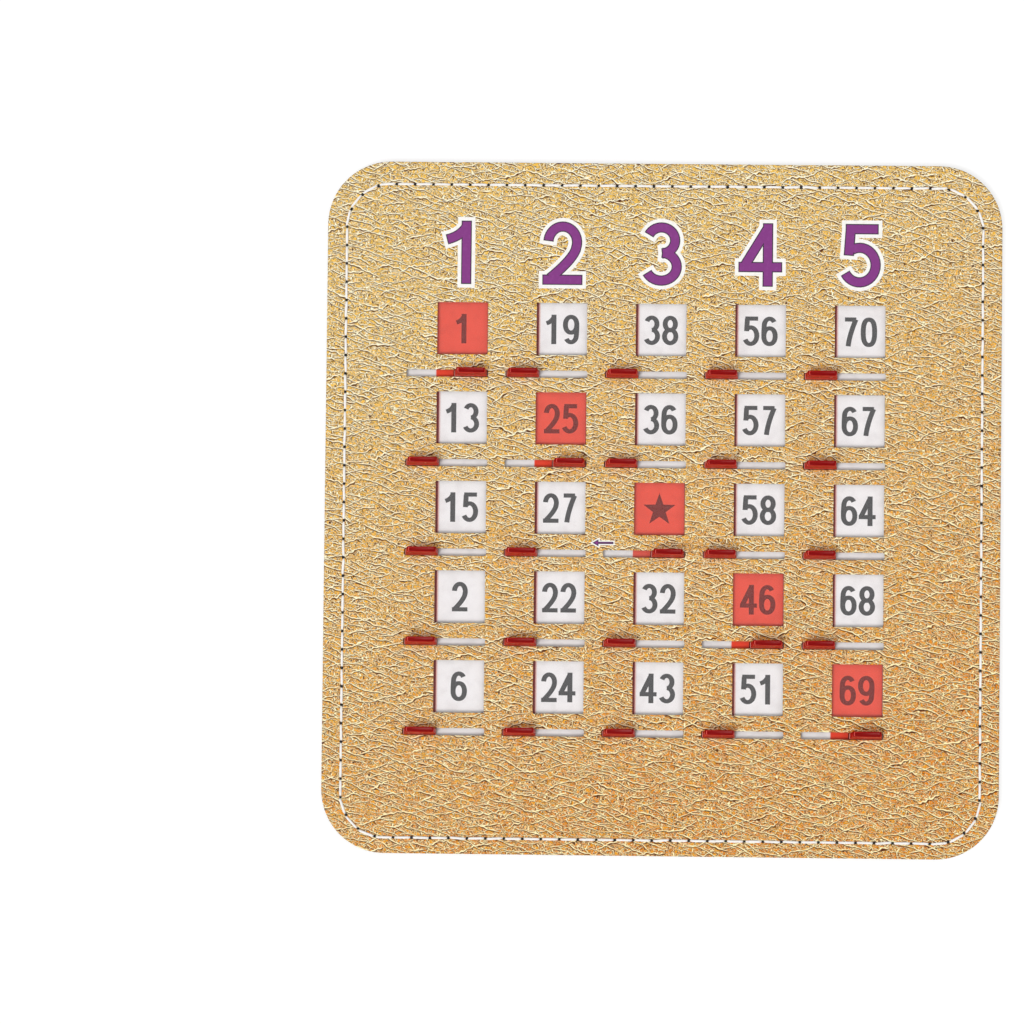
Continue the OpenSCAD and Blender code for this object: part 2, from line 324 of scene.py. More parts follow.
# Printing ink: one colour, in clouds a worn one
def inkFinish(name, colour, worn, roughness, wear, look=inkLook):
    f = Finish(name)
    cloud = f.noise(look["cloud"], 3.0, 0.6)
    base = f.stain(colour, worn, cloud, *look["wornFrom"], wear)
    return f.finish(f.surface(Base_Color=base, Roughness=roughness + cloud * look["roughChange"],
                              Normal=f.bump(f.noise(look["grain"], 2.0), look["depth"])))


plasticLook = {
    "cloud": 2.2, "deepFrom": (0.3, 0.8, 0.3), "deep": 0.8, "roughChange": 0.08, "wave": 1.4, "depth": 0.01,
    "plate": {"share": 0.07, "shine": 0.35, "rough": 0.18, "glow": 0.06,
              # on a plate the level runs in from its right edge: a paler, clearer edge, then a band of
              # painted shade, then the plate's red
              "clears": [(0.0, (1.0, 0.97, 0.96)), (0.3, (1.0, 0.88, 0.86)), (0.5, (0.72, 0.32, 0.32)),
                         (0.75, (0.62, 0.26, 0.27)), (1.0, (1.0, 0.58, 0.495))],
              "tintsAndShading": [(0.0, tone(255, 226, 220)), (0.5, tone(150, 30, 40)), (1.0, tone(255, 62, 52))]},
    "tab": {"share": 0.78, "shine": 0.1, "rough": 0.22, "glow": 0.06,
            "clears": [(0.0, (0.5, 0.03, 0.03)), (1.0, (0.95, 0.10, 0.07))],
            # on a tab these stops paint light and shade: a dark foot of painted shadow, a pale painted
            # highlight, bright lit sides and a shaded deep red top
            "tintsAndShading": [(0.0, tone(20, 2, 6)), (0.12, tone(30, 4, 8)), (0.2, tone(255, 176, 164)),
                      (0.34, tone(244, 78, 66)), (0.7, tone(192, 20, 16)), (0.9, tone(142, 2, 4))]},
    "film": {"share": 0.03, "shine": 0.25, "rough": 0.08, "glow": 0.0,
             "clears": [(0.0, (1.0, 1.0, 1.0))],
             "tintsAndShading": [(0.0, tone(250, 250, 250)), (1.0, tone(250, 250, 250))]},
}


# Clear or coloured plastic: a share of the surface shines, the rest lets tinted light through. Both tints
# follow the attribute "level", which paints light and shade: on a tab a dark foot of painted shadow, a
# painted highlight on its edge, brightly lit sides and a deep red, shaded top; the light that passes is a
# clear shader for each stop, mixed in one after another as the level rises.
def plasticFinish(name, kind, look):
    f = Finish(name)
    own = look[kind]
    cloud = f.noise(look["cloud"], 2.0, kind="3D")
    level = f.node("Attribute", {"attribute_name": "level"}, {}, 2)
    shadedTint = f.node("ValToRGB", {"stops": own["tintsAndShading"]}, {"Fac": level})
    deep = tuple(look["deep"] * part for part in own["tintsAndShading"][-1][1])
    shadedTint = f.stain(shadedTint, deep, cloud, *look["deepFrom"])
    # the body glows faintly in its own tint: painted light, though the plastic is no lamp
    body = f.surface(Base_Color=shadedTint, Roughness=own["rough"] + cloud * look["roughChange"],
                     Specular_IOR_Level=own["shine"], Emission_Color=shadedTint, Emission_Strength=own["glow"],
                     Normal=f.bump(f.noise(look["wave"], 2.0, kind="3D"), look["depth"]))
    stops = own["clears"]
    clear = f.node("BsdfTransparent", {}, {"Color": stops[0][1]})
    for (start, _), (end, colour) in zip(stops, stops[1:]):
        passed = f.node("MapRange", {}, {"Value": level, "From Min": start, "From Max": end})
        following = f.node("BsdfTransparent", {}, {"Color": colour})
        clear = f.node("MixShader", {}, {0: passed, 1: clear, 2: following})
    return f.finish(f.node("MixShader", {}, {0: own["share"], 1: clear, 2: body}))


threadLook = {"fibre": 0.16, "dirt": 1.7, "white": tone(253, 252, 250), "soiled": tone(236, 228, 222),
              "shade": tone(222, 212, 204), "soiledFrom": (0.45, 0.8, 0.5), "shadeFrom": (0.55, 0.35, 0.3),
              "rough": 0.85, "sheen": 0.25, "depth": 0.02}


# White thread, a little soiled in patches and darker between its fibres
def threadFinish(name, look):
    f = Finish(name)
    fibres = f.noise(look["fibre"], 3.0, 0.7, kind="3D")
    base = f.stain(look["white"], look["soiled"], f.noise(look["dirt"], 2.0, kind="3D"), *look["soiledFrom"])
    base = f.stain(base, look["shade"], fibres, *look["shadeFrom"])
    return f.finish(f.surface(Base_Color=base, Roughness=look["rough"], Sheen_Weight=look["sheen"],
                              Normal=f.bump(fibres, look["depth"])))


finishes = {
    "cover": leatherFinish("coverLeather", leatherLook),
    "back": leatherFinish("backLeather", leatherLook),
    "board": boardFinish("pressedBoard", boardLook),
    "paper": paperFinish("numberPaper", paperLook),
    "ink": inkFinish("greyInk", tone(40, 38, 40), tone(58, 56, 58), 0.6, 0.4),
    # the needle holes are dark ovals of painted shade, made with the ink finish
    "holeShade": inkFinish("needleHoleShade", tone(14, 8, 8), tone(30, 20, 16), 0.8, 0.4),
    "headingFill": inkFinish("purpleInk", tone(120, 26, 120), tone(134, 48, 134), 0.5, 0.5),
    "headingEdge": inkFinish("darkInk", tone(34, 4, 38), tone(44, 10, 48), 0.6, 0.5),
    "headingOutline": inkFinish("whiteInk", tone(246, 244, 240), tone(232, 226, 214), 0.5, 0.6),
    "plate": plasticFinish("platePlastic", "plate", plasticLook),
    "tab": plasticFinish("tabPlastic", "tab", plasticLook),
    "film": plasticFinish("clearFilm", "film", plasticLook),
    "thread": threadFinish("sewingThread", threadLook),
}


def addObject(name, data):
    made = bpy.data.objects.new(name, data)
    bpy.context.scene.collection.objects.link(made)
    return made


# Puts arrays of points and faces into a new object that rides on a body
def makePiece(name, points, faces, materials, body, materialIndex=None, smooth=True, sharpAngle=40.0):
    mesh = bpy.data.meshes.new(name)
    mesh.from_pydata((np.asarray(points) * mm).tolist(), [], faces)
    for material in materials:
        mesh.materials.append(material)
    if materialIndex is not None:
        mesh.polygons.foreach_set("material_index", np.asarray(materialIndex, np.int32))
    mesh.validate()
    piece = addObject(name, mesh)
    if smooth:
        mesh.shade_smooth()
        mesh.set_sharp_from_angle(angle=math.radians(sharpAngle))
    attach(piece, body)
    return piece


# Moves points in a square corner onto its quarter disc: scaled by their longer side over their distance
def roundCorner(x, y, halfX, halfY, radius):
    overX, overY = np.abs(x) - (halfX - radius), np.abs(y) - (halfY - radius)
    inside = (overX > 0) & (overY > 0) & (overX <= radius + 1e-6) & (overY <= radius + 1e-6)
    scale = np.where(inside, np.maximum(overX, overY) / np.maximum(np.hypot(overX, overY), 1e-9), 1.0)
    newX = np.where(inside, np.sign(x) * (halfX - radius + overX * scale), x)
    newY = np.where(inside, np.sign(y) * (halfY - radius + overY * scale), y)
    return newX, newY


# Distance from a rectangle with round corners, below 0 inside it
def roundDistance(x, y, halfX, halfY, radius):
    overX, overY = np.abs(x) - (halfX - radius), np.abs(y) - (halfY - radius)
    outside = np.hypot(np.maximum(overX, 0), np.maximum(overY, 0))
    return outside + np.minimum(np.maximum(overX, overY), 0) - radius


# The seam: its line lies this far inside the card's edge and is moved down by the sink
seam = {"inset": 6.7, "sink": 1.2, "pitch": 6.4, "groove": 0.2, "backGroove": 0.3, "grooveHalf": 1.1,
        "pitDepth": 0.3, "pitReach": 0.3}
seam["halfX"] = card["halfWidth"] - seam["inset"]
seam["halfY"] = card["halfHeight"] - seam["inset"]
seam["corner"] = card["corner"] - seam["inset"]
seam["sides"] = np.array([2 * (seam["halfY"] - seam["corner"]), 2 * (seam["halfX"] - seam["corner"])] * 2)
seam["bend"] = math.pi / 2 * seam["corner"]
seam["long"] = float(seam["sides"].sum() + 4 * seam["bend"])
seam["count"] = round(seam["long"] / seam["pitch"])
seam["step"] = seam["long"] / seam["count"]
seamStarts = np.concatenate([[0], np.cumsum(seam["sides"] + seam["bend"])[:-1]])
seamCore = np.array([seam["halfX"] - seam["corner"], seam["halfY"] - seam["corner"]])
seamCorners = np.array([[1, 1], [1, -1], [-1, -1], [-1, 1]]) * seamCore


# Place and heading at lengths along the seam: each corner is an arc, then one straight side
def seamPlace(lengths):
    index = np.searchsorted(seamStarts, lengths, side="right") - 1
    past = lengths - seamStarts[index]
    turn = np.radians(90 - 90 * (index + np.minimum(past / seam["bend"], 1)))
    straight = np.maximum(past - seam["bend"], 0)
    x = seamCorners[index, 0] + seam["corner"] * np.cos(turn) + straight * np.sin(turn)
    y = seamCorners[index, 1] + seam["corner"] * np.sin(turn) - straight * np.cos(turn)
    return x, y - seam["sink"], turn - math.pi / 2


# Distance across the seam and length along it, for any points near it
def seamReach(x, y):
    y = y + seam["sink"]
    across = roundDistance(x, y, seam["halfX"], seam["halfY"], seam["corner"])
    coreX, coreY = seamCore
    overX, overY = np.abs(x) - coreX, np.abs(y) - coreY
    bend = (overX > 0) & (overY > 0)
    angle = np.degrees(np.arctan2(y - np.sign(y) * coreY, x - np.sign(x) * coreX))
    quarter = np.where(y > 0, np.where(x > 0, 0, 3), np.where(x > 0, 1, 2))
    arc = seamStarts[quarter] + np.mod(90 - angle - 90 * quarter, 360) / 90 * seam["bend"]
    sideways = np.where(overX > 0, overY <= 0, np.where(overY > 0, False, overX > overY))
    ways = (coreY - y, coreX - x, coreY + y, coreX + x)
    right, bottom, left, top = (start + seam["bend"] + way for start, way in zip(seamStarts, ways))
    side = np.where(sideways, np.where(x > 0, right, left), np.where(y > 0, top, bottom))
    return across, np.where(bend, arc, side)


skinLook = {
    "pitch": 1.55, "plainPitch": 2.2, "closest": 0.045,  # grid steps with and without holes, least step
    # grid lines beside a hole's edge, and rows of the band: over the seam, towards the rim and at the rim
    "outside": np.array([0.05, 0.13, 0.34]), "within": np.array([0.18, 0.38, 0.6]),
    "band": 10.0, "lead": 0.5, "seamRows": (-1.3, -0.85, -0.52, -0.25, 0.0, 0.25, 0.52, 0.85, 1.3),
    "rimRows": (0.35, 0.7, 1.0), "rimStop": 0.6, "edgeRows": (0.4, 0.24, 0.11, 0.03, 0.0),
    "round": 0.2, "outerRound": 0.42, "floor": 0.04, "swell": 0.05, "swellAt": 1.1, "swellReach": 0.5,
    "wave": 0.018, "waves": (61.0, 43.0, 29.0, 19.0, 13.0), "seed": 5, "sharpAngle": 50.0,
}


# Grid lines from -reach to reach: each edge, the lines beside it, and even steps between them
def gridLines(reach, edges, beside, pitch, closest):
    stops = np.unique(np.concatenate([[-reach, reach], edges]))
    near = beside[nearest(beside, stops) > closest]
    near = np.sort(near[np.abs(near) < reach])
    near = near[np.concatenate([[True], np.diff(near) > closest])] if len(near) else near
    stops = np.sort(np.concatenate([stops, near]))
    counts = np.maximum(1, np.ceil(np.diff(stops) / pitch)).astype(int)
    steps = [np.linspace(a, b, n, endpoint=False) for a, b, n in zip(stops[:-1], stops[1:], counts)]
    return np.concatenate(steps + [stops[-1:]])


# Grid lines across the windows and slots: lines beside each edge outwards, and for slots inwards too
def holeLines(reach, windows, windowHalf, slots, slotHalf, look):
    sign = np.repeat([-1.0, 1.0], len(windows))[:, None]
    edges, beside = [], []
    for middles, half, offsets in ((windows, windowHalf, look["outside"]),
                                   (slots, slotHalf, np.concatenate([look["outside"], -look["within"]]))):
        edges.append(np.concatenate([middles - half, middles + half]))
        beside.append((edges[-1][:, None] + sign * offsets).ravel())
    return gridLines(reach, np.concatenate(edges), np.concatenate(beside), look["pitch"], look["closest"])


# Distance from each value to the nearest of some middles
def nearest(values, middles):
    return np.abs(values[:, None] - middles[None]).min(1)


# The inner part of a skin: a grid with the windows and slots left out, its corners and the slots' rounded
def skinGrid(halfX, halfY, corner, holes, look):
    if holes:
        linesX = holeLines(halfX, columnX, card["windowHalfX"], slotX, card["slotHalfX"], look)
        linesY = holeLines(halfY, rowY, card["windowHalfY"], slotY, card["slotHalfY"], look)
    else:
        middle, none = np.zeros(1), np.zeros(0)
        linesX, linesY = (gridLines(half, middle, none, look["plainPitch"], look["closest"])
                          for half in (halfX, halfY))
    gridX, gridY = (a.ravel() for a in np.meshgrid(linesX, linesY, indexing="ij"))
    index = np.arange(len(gridX)).reshape(len(linesX), len(linesY))
    quads = np.stack([index[:-1, :-1], index[1:, :-1], index[1:, 1:], index[:-1, 1:]], -1).reshape(-1, 4)
    if holes:
        middleX, middleY = (linesX[1:] + linesX[:-1]) / 2, (linesY[1:] + linesY[:-1]) / 2
        opened = np.outer(nearest(middleX, columnX) < card["windowHalfX"],
                          nearest(middleY, rowY) < card["windowHalfY"])
        opened |= np.outer(nearest(middleX, slotX) < card["slotHalfX"],
                           nearest(middleY, slotY) < card["slotHalfY"])
        quads = quads[~opened.ravel()]
        nearX = gridX - slotX[np.abs(gridX[:, None] - slotX[None]).argmin(1)]
        nearY = gridY - slotY[np.abs(gridY[:, None] - slotY[None]).argmin(1)]
        roundX, roundY = roundCorner(nearX, nearY, card["slotHalfX"], card["slotHalfY"], card["slotCorner"])
        gridX, gridY = gridX + roundX - nearX, gridY + roundY - nearY
    return *roundCorner(gridX, gridY, halfX, halfY, corner), index, quads


# The band round the grid: offset outlines, close together over the seam and at the rim. It has twice as many
# stations as the grid's outline, so the faces between them have five sides.
def skinBand(gridX, gridY, index, coreX, coreY, look):
    loop = np.concatenate([index[:-1, 0], index[-1, :-1], index[:0:-1, -1], index[0, :0:-1]])
    loopX, loopY = gridX[loop], gridY[loop]
    outX = np.sign(loopX) * np.maximum(np.abs(loopX) - coreX, 0)
    outY = np.sign(loopY) * np.maximum(np.abs(loopY) - coreY, 0)
    long = np.hypot(outX, outY)

    # Puts a middle value between each two neighbours round the loop
    def doubled(values):
        return np.stack([values, (values + np.roll(values, -1)) / 2], -1).ravel()

    stationX, stationY, outX, outY = (doubled(a) for a in (loopX, loopY, outX / long, outY / long))
    middle = look["band"] - seam["inset"] - seam["sink"] * outY
    first, *_, last = look["seamRows"]
    rows = [look["lead"] * (middle + first)] + [middle + offset for offset in look["seamRows"]]
    rows += [middle + last + s * (look["band"] - look["rimStop"] - middle - last) for s in look["rimRows"]]
    rows += [look["band"] - offset + 0 * middle for offset in look["edgeRows"]]
    bandX = np.stack([stationX + row * outX for row in rows])
    bandY = np.stack([stationY + row * outY for row in rows])
    bandIndex = len(gridX) + np.arange(bandX.size).reshape(bandX.shape)
    ahead = np.roll(bandIndex, -1, 1)
    pairs = bandIndex[0].reshape(-1, 2)
    collars = np.stack([loop, pairs[:, 0], pairs[:, 1], np.roll(pairs[:, 0], -1), np.roll(loop, -1)], -1)
    ring = np.stack([bandIndex[:-1], bandIndex[1:], ahead[1:], ahead[:-1]], -1).reshape(-1, 4)
    return bandX.ravel(), bandY.ravel(), collars, ring


# How far a skin's points lie under its flat face: rounded edges, the groove, pits at the needle holes and a
# swell beside each stitch, with long soft waves away from the edges
def skinDrop(x, y, holes, groove, thickness, look):
    clear = -roundDistance(x, y, card["halfWidth"], card["halfHeight"], card["corner"])
    radius = np.where(clear < look["band"] / 2, look["outerRound"], look["round"])
    if holes:
        overX = np.maximum(nearest(x, columnX) - card["windowHalfX"], 0)
        overY = np.maximum(nearest(y, rowY) - card["windowHalfY"], 0)
        fromSlot = roundDistance(nearest(x, slotX), nearest(y, slotY), card["slotHalfX"], card["slotHalfY"],
                                 card["slotCorner"])
        clear = np.minimum(np.minimum(clear, np.hypot(overX, overY)), np.maximum(fromSlot, 0))
    drop = radius - np.sqrt(np.maximum(radius ** 2 - np.maximum(radius - clear, 0) ** 2, 0))
    across, along = seamReach(x, y)
    phase = np.mod(along / seam["step"], 1.0) - 0.5
    valley = (np.cos(math.pi * across / seam["grooveHalf"]) + 1) / 2
    valley = np.where(np.abs(across) < seam["grooveHalf"], valley, 0)
    pit = np.exp(-((phase * seam["step"]) ** 2 + across ** 2) / (2 * seam["pitReach"] ** 2))
    beside = np.exp(-((np.abs(across) - look["swellAt"]) / look["swellReach"]) ** 2)
    swell = beside * np.cos(2 * math.pi * phase)
    pitDepth = min(seam["pitDepth"], thickness - groove - look["floor"])
    drop = drop + groove * valley + pitDepth * pit + look["swell"] * swell
    return drop + softWaves(x, y, look) * np.clip(clear / 2, 0, 1)


# A few long sine waves in fixed directions, so that the face isn't dead flat
def softWaves(x, y, look):
    draw = np.random.default_rng(look["seed"])
    total = 0 * x
    for length in look["waves"]:
        heading, phase = draw.uniform(0, 2 * math.pi, 2)
        total = total + np.sin((x * math.cos(heading) + y * math.sin(heading)) * 2 * math.pi / length + phase)
    return look["wave"] * total / 2


# Edges of some arrays of faces that belong to one face only, as pairs of points
def openEdges(arrays, count):
    pairs = np.concatenate([np.stack([faces, np.roll(faces, -1, 1)], -1).reshape(-1, 2) for faces in arrays])
    key = np.sort(pairs, 1)
    code = key[:, 0].astype(np.int64) * (count + 1) + key[:, 1]
    _, where, repeats = np.unique(code, return_index=True, return_counts=True)
    return pairs[where[repeats == 1]]


# One leatherette skin: the grid, the band, walls from every open edge down to the glued side, and that side
def leatherSkin(name, body, material, node, faceZ, innerZ, holes, look, groove):
    up = 1.0 if faceZ > innerZ else -1.0
    halfX, halfY = card["halfWidth"] - look["band"], card["halfHeight"] - look["band"]
    corner = card["corner"] - look["band"]
    gridX, gridY, index, quads = skinGrid(halfX, halfY, corner, holes, look)
    bandX, bandY, collars, ring = skinBand(gridX, gridY, index, halfX - corner, halfY - corner, look)
    x, y = np.concatenate([gridX, bandX]), np.concatenate([gridY, bandY])
    z = faceZ - up * skinDrop(x, y, holes, groove, abs(faceZ - innerZ), look)

    border = openEdges((quads, collars, ring), len(x))
    rim = np.unique(border)
    below = np.full(len(x), -1)
    below[rim] = len(x) + np.arange(len(rim))
    walls = np.stack([border[:, 1], border[:, 0], below[border[:, 0]], below[border[:, 1]]], -1)
    points = np.concatenate([np.stack([x, y, z], 1),
                             np.stack([x[rim], y[rim], np.full(len(rim), innerZ)], 1)])
    used = np.zeros(len(points), bool)
    used[np.concatenate([faces.ravel() for faces in (quads, collars, ring, walls)])] = True
    renumber = np.cumsum(used) - 1
    faces = [face for array in (quads, collars, ring, walls) for face in renumber[array].tolist()]
    piece = makePiece(name, points[used], faces, [material], body)

    mesh = piece.data
    b = bmesh.new()
    b.from_mesh(mesh)
    bmesh.ops.triangle_fill(b, use_beauty=True, edges=[e for e in b.edges if e.is_boundary])
    bmesh.ops.recalc_face_normals(b, faces=b.faces)
    for face in b.faces:
        face.smooth = True
    b.to_mesh(mesh)
    b.free()
    mesh.set_sharp_from_angle(angle=math.radians(look["sharpAngle"]))
    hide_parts(node)
    print(name, len(mesh.polygons), "faces")
    return piece


print("covers")
leatherSkin("coverSkin", "card", finishes["cover"], "front_cover",
            card["faceZ"], card["coverZ"], True, skinLook, seam["groove"])
leatherSkin("backSkin", "card", finishes["back"], "back_cover",
            0.0, card["backZ"], False, skinLook, seam["backGroove"])

stitchLook = {
    "ply": 3, "turn": 1.05, "lobe": 0.16, "thin": 0.45, "slack": (0.94, 1.05), "lean": 0.025, "seed": 11,
    "front": {"middleZ": card["faceZ"] + 0.19, "halfLength": 2.74, "radiusY": 0.46, "radiusZ": 0.4,
              "dive": 0.45, "arch": 0.06, "rings": 11, "sides": 12},
    "back": {"middleZ": 0.155, "halfLength": 2.75, "radiusY": 0.42, "radiusZ": 0.15,
             "dive": -0.12, "arch": 0.0, "rings": 9, "sides": 10},
}


# Stitches: a lobed round, turned as it goes along, that sinks into the needle holes at both ends
def stitches(name, node, own, look):
    count, rings, sides = seam["count"], own["rings"], own["sides"]
    x, y, heading = seamPlace(np.arange(count) * seam["step"])
    draw = np.random.default_rng(look["seed"])
    roll = draw.uniform(0, 2 * math.pi, count)[:, None, None]
    slack = draw.uniform(*look["slack"], count)[:, None, None]
    heading = (heading + draw.normal(0, look["lean"], count))[:, None, None]
    along = np.sin(np.linspace(-math.pi / 2, math.pi / 2, rings))[None, :, None]
    around = np.linspace(0, 2 * math.pi, sides, endpoint=False)[None, None, :]
    twist = along * own["halfLength"] * look["turn"]
    lobe = 1 - look["lobe"] * (1 - np.abs(np.cos(((around - twist) * look["ply"] + roll) / 2)))
    width = lobe * (1 - look["thin"] * np.abs(along) ** 8) * slack
    localX = along * own["halfLength"] + 0 * around
    localY = own["radiusY"] * width * np.cos(around)
    localZ = own["middleZ"] + own["radiusZ"] * width * np.sin(around)
    localZ = localZ + own["arch"] * (1 - along ** 2) - own["dive"] * np.abs(along) ** 7
    worldX = x[:, None, None] + localX * np.cos(heading) - localY * np.sin(heading)
    worldY = y[:, None, None] + localX * np.sin(heading) + localY * np.cos(heading)
    points = np.stack([worldX, worldY, localZ], -1).reshape(-1, 3)
    ring = np.arange(count * rings * sides).reshape(count, rings, sides)
    ahead = np.roll(ring, -1, 2)
    sheet = np.stack([ring[:, :-1], ring[:, 1:], ahead[:, 1:], ahead[:, :-1]], -1).reshape(-1, 4)
    faces = sheet.tolist() + ring[:, 0, ::-1].tolist() + ring[:, -1].tolist()
    piece = makePiece(name, points, faces, [finishes["thread"]], "card", sharpAngle=60.0)
    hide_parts(node)


stitches("seamStitches", "front_stitching", stitchLook["front"], stitchLook)
stitches("backStitches", "back_stitching", stitchLook["back"], stitchLook)
print("stitches", seam["count"])

holeShade = {"halfAlong": 0.56, "halfAcross": 0.72, "slant": -22.0, "wander": 0.16, "sizes": (0.85, 1.12),
        "sides": 10, "rise": 0.04, "depth": 0.1, "seed": 23}


# Needle holes: a slanted dark oval between each two stitches, painted shade standing for the shaded hole, its
# edge on the groove's floor
def needleHoles(name, floorZ, up, look):
    count, sides = seam["count"], look["sides"]
    x, y, heading = seamPlace((np.arange(count) + 0.5) * seam["step"])
    draw = np.random.default_rng(look["seed"])
    heading = (heading + math.radians(look["slant"]) + draw.normal(0, look["wander"], count))[:, None]
    size = draw.uniform(*look["sizes"], count)[:, None]
    turn = np.linspace(0, 2 * math.pi, sides, endpoint=False)[None]
    localX, localY = look["halfAlong"] * size * np.cos(turn), look["halfAcross"] * size * np.sin(turn)
    rimX = x[:, None] + localX * np.cos(heading) - localY * np.sin(heading)
    rimY = y[:, None] + localX * np.sin(heading) + localY * np.cos(heading)
    points = np.concatenate([np.stack([rimX, rimY, np.full_like(rimX, floorZ + up * level)], -1)
                             for level in (look["rise"], -look["depth"])], 1).reshape(-1, 3)
    first = (np.arange(count) * 2 * sides)[:, None] + np.arange(sides)[None]
    ahead = np.roll(first, -1, 1)
    walls = np.stack([first, ahead, ahead + sides, first + sides], -1).reshape(-1, 4)
    faces = first.tolist() + (first[:, ::-1] + sides).tolist() + walls.tolist()
    makePiece(name, points, faces, [finishes["holeShade"]], "card", smooth=False)


needleHoles("seamHoles", card["faceZ"] - seam["groove"], 1.0, holeShade)
needleHoles("backHoles", seam["backGroove"], -1.0, holeShade)


def arcPath(middleX, middleY, reachX, reachY, start, end, count=26):
    angle = np.radians(np.linspace(start, end, count))
    return np.stack([middleX + reachX * np.cos(angle), middleY + reachY * np.sin(angle)], 1)


# A closed curve |x|^n + |y|^n = 1, stretched to its two reaches
def ringPath(middleX, middleY, reachX, reachY, power=2.0, count=44):
    angle = np.linspace(0, 2 * math.pi, count, endpoint=False)
    c, s = np.cos(angle), np.sin(angle)
    return np.stack([middleX + reachX * np.sign(c) * np.abs(c) ** (2 / power),
                     middleY + reachY * np.sign(s) * np.abs(s) ** (2 / power)], 1)


# Curve from start to end that leans to one point between them
def bentPath(start, lean, end, count=14):
    t = np.linspace(0, 1, count)[:, None]
    return (1 - t) ** 2 * np.array(start) + 2 * t * (1 - t) * np.array(lean) + t ** 2 * np.array(end)


# Middle lines of the figures in a unit box: (points, closed, ends carried on by half a stroke)
def figurePaths():
    top = np.concatenate([arcPath(0.5, 0.72, 0.47, 0.28, 32, 176), [[0.0, 0.5], [0.0, 0.31]]])
    six = [(top, False, False), (ringPath(0.5, 0.31, 0.5, 0.31, 2.15), True, False)]
    two = np.concatenate([arcPath(0.5, 0.705, 0.48, 0.295, 176, -20),
                          bentPath((0.94, 0.57), (0.80, 0.36), (0.08, 0.03))])
    return {
        "0": [(ringPath(0.5, 0.5, 0.5, 0.5, 2.5), True, False)],
        "1": [(np.array([[0.60, 1.0], [0.60, 0.0]]), False, True),
              (bentPath((0.60, 0.99), (0.40, 0.80), (-0.06, 0.74)), False, False)],
        "2": [(two, False, False), (np.array([[0.0, 0.0], [1.0, 0.0]]), False, True)],
        "3": [(arcPath(0.48, 0.755, 0.46, 0.245, 155, -88), False, False),
              (arcPath(0.48, 0.262, 0.52, 0.262, 88, -155), False, False)],
        "4": [(np.array([[0.70, 0.99], [-0.05, 0.30]]), False, False),
              (np.array([[-0.09, 0.27], [1.03, 0.27]]), False, True),
              (np.array([[0.72, 1.0], [0.72, 0.0]]), False, True)],
        "5": [(np.array([[0.16, 1.0], [0.92, 1.0]]), False, True),
              (np.array([[0.16, 1.0], [0.10, 0.50]]), False, False),
              (arcPath(0.46, 0.325, 0.54, 0.325, 121, -152), False, False)],
        "6": six,
        "7": [(np.array([[0.0, 1.0], [1.0, 1.0]]), False, False),
              (bentPath((0.97, 1.0), (0.42, 0.42), (0.30, -0.06)), False, False)],
        "8": [(ringPath(0.5, 0.755, 0.45, 0.245), True, False),
              (ringPath(0.5, 0.262, 0.5, 0.262), True, False)],
        "9": [(1 - path, closed, ends) for path, closed, ends in six],
    }


strokeRules = {"leastLean": 0.38,  # keeps the sides of a sharp corner from running far out
               "step": 0.002}  # each stroke of a figure lies this much above the last, so no faces coincide


# Both sides of a stroke along a path: at each corner the sides run on until they meet
def strokeSides(path, closed, halfX, halfY):
    ahead = np.roll(path, -1, 0) - path
    if not closed:
        ahead[-1] = ahead[-2]
    behind = np.roll(ahead, 1, 0)
    if not closed:
        behind[0] = ahead[0]
    ahead = ahead / np.linalg.norm(ahead, axis=1, keepdims=True)
    behind = behind / np.linalg.norm(behind, axis=1, keepdims=True)
    normal = np.stack([-(ahead[:, 1] + behind[:, 1]), ahead[:, 0] + behind[:, 0]], 1)
    normal = normal / np.maximum(np.linalg.norm(normal, axis=1, keepdims=True), 1e-6)
    lean = np.abs(-ahead[:, 1] * normal[:, 0] + ahead[:, 0] * normal[:, 1])
    offset = normal / np.maximum(lean, strokeRules["leastLean"])[:, None] * [halfX, halfY]
    return path + offset, path - offset


# A flat slab with the outline of a stroke, from low to high: quads round it between neighbouring corners
def strokeSlab(path, closed, halfX, halfY, low, high):
    left, right = strokeSides(path, closed, halfX, halfY)
    count = len(path)
    points = np.concatenate([np.column_stack([side, np.full(count, z)])
                             for side, z in ((left, high), (right, high), (right, low), (left, low))])
    here = np.arange(count if closed else count - 1)
    there = (here + 1) % count
    corners = np.arange(4) * count
    faces = np.concatenate([np.stack([here + a, here + b, there + b, there + a], 1)
                            for a, b in zip(corners, np.roll(corners, -1))])
    return points, faces if closed else np.concatenate([faces, [corners[::-1], corners + count - 1]])


# The slabs of one figure, in a box round its middle; grow makes the strokes wider on every side
def figureSlabs(figure, middleX, middleY, look, low, high, grow=0.0):
    strokeX, strokeY = look["strokeX"], look["strokeY"]
    slabs = []
    for order, (path, closed, ends) in enumerate(figurePaths()[figure]):
        path = (path - 0.5) * [look["width"] - strokeX, look["height"] - strokeY] + [middleX, middleY]
        if not closed:
            first = path[0] - path[1]
            final = path[-1] - path[-2]
            runOn = grow + (strokeY / 2 if ends else 0)
            path[0] += first / np.linalg.norm(first) * runOn
            path[-1] += final / np.linalg.norm(final) * runOn
        slabs.append(strokeSlab(path, closed, strokeX / 2 + grow, strokeY / 2 + grow,
                                low, high + strokeRules["step"] * order))
    return slabs


# Closed outline moved outwards by a distance, its corners kept sharp
def grownLoop(loop, distance):
    return strokeSides(loop, True, distance, distance)[1]


def loopSlab(loop, low, high):
    count = len(loop)
    points = np.concatenate([np.column_stack([loop, np.full(count, z)]) for z in (high, low)])
    here = np.arange(count)
    there = (here + 1) % count
    sides = np.stack([here, here + count, there + count, there], 1)
    return points, [list(range(count)), list(range(2 * count - 1, count - 1, -1))] + sides.tolist()


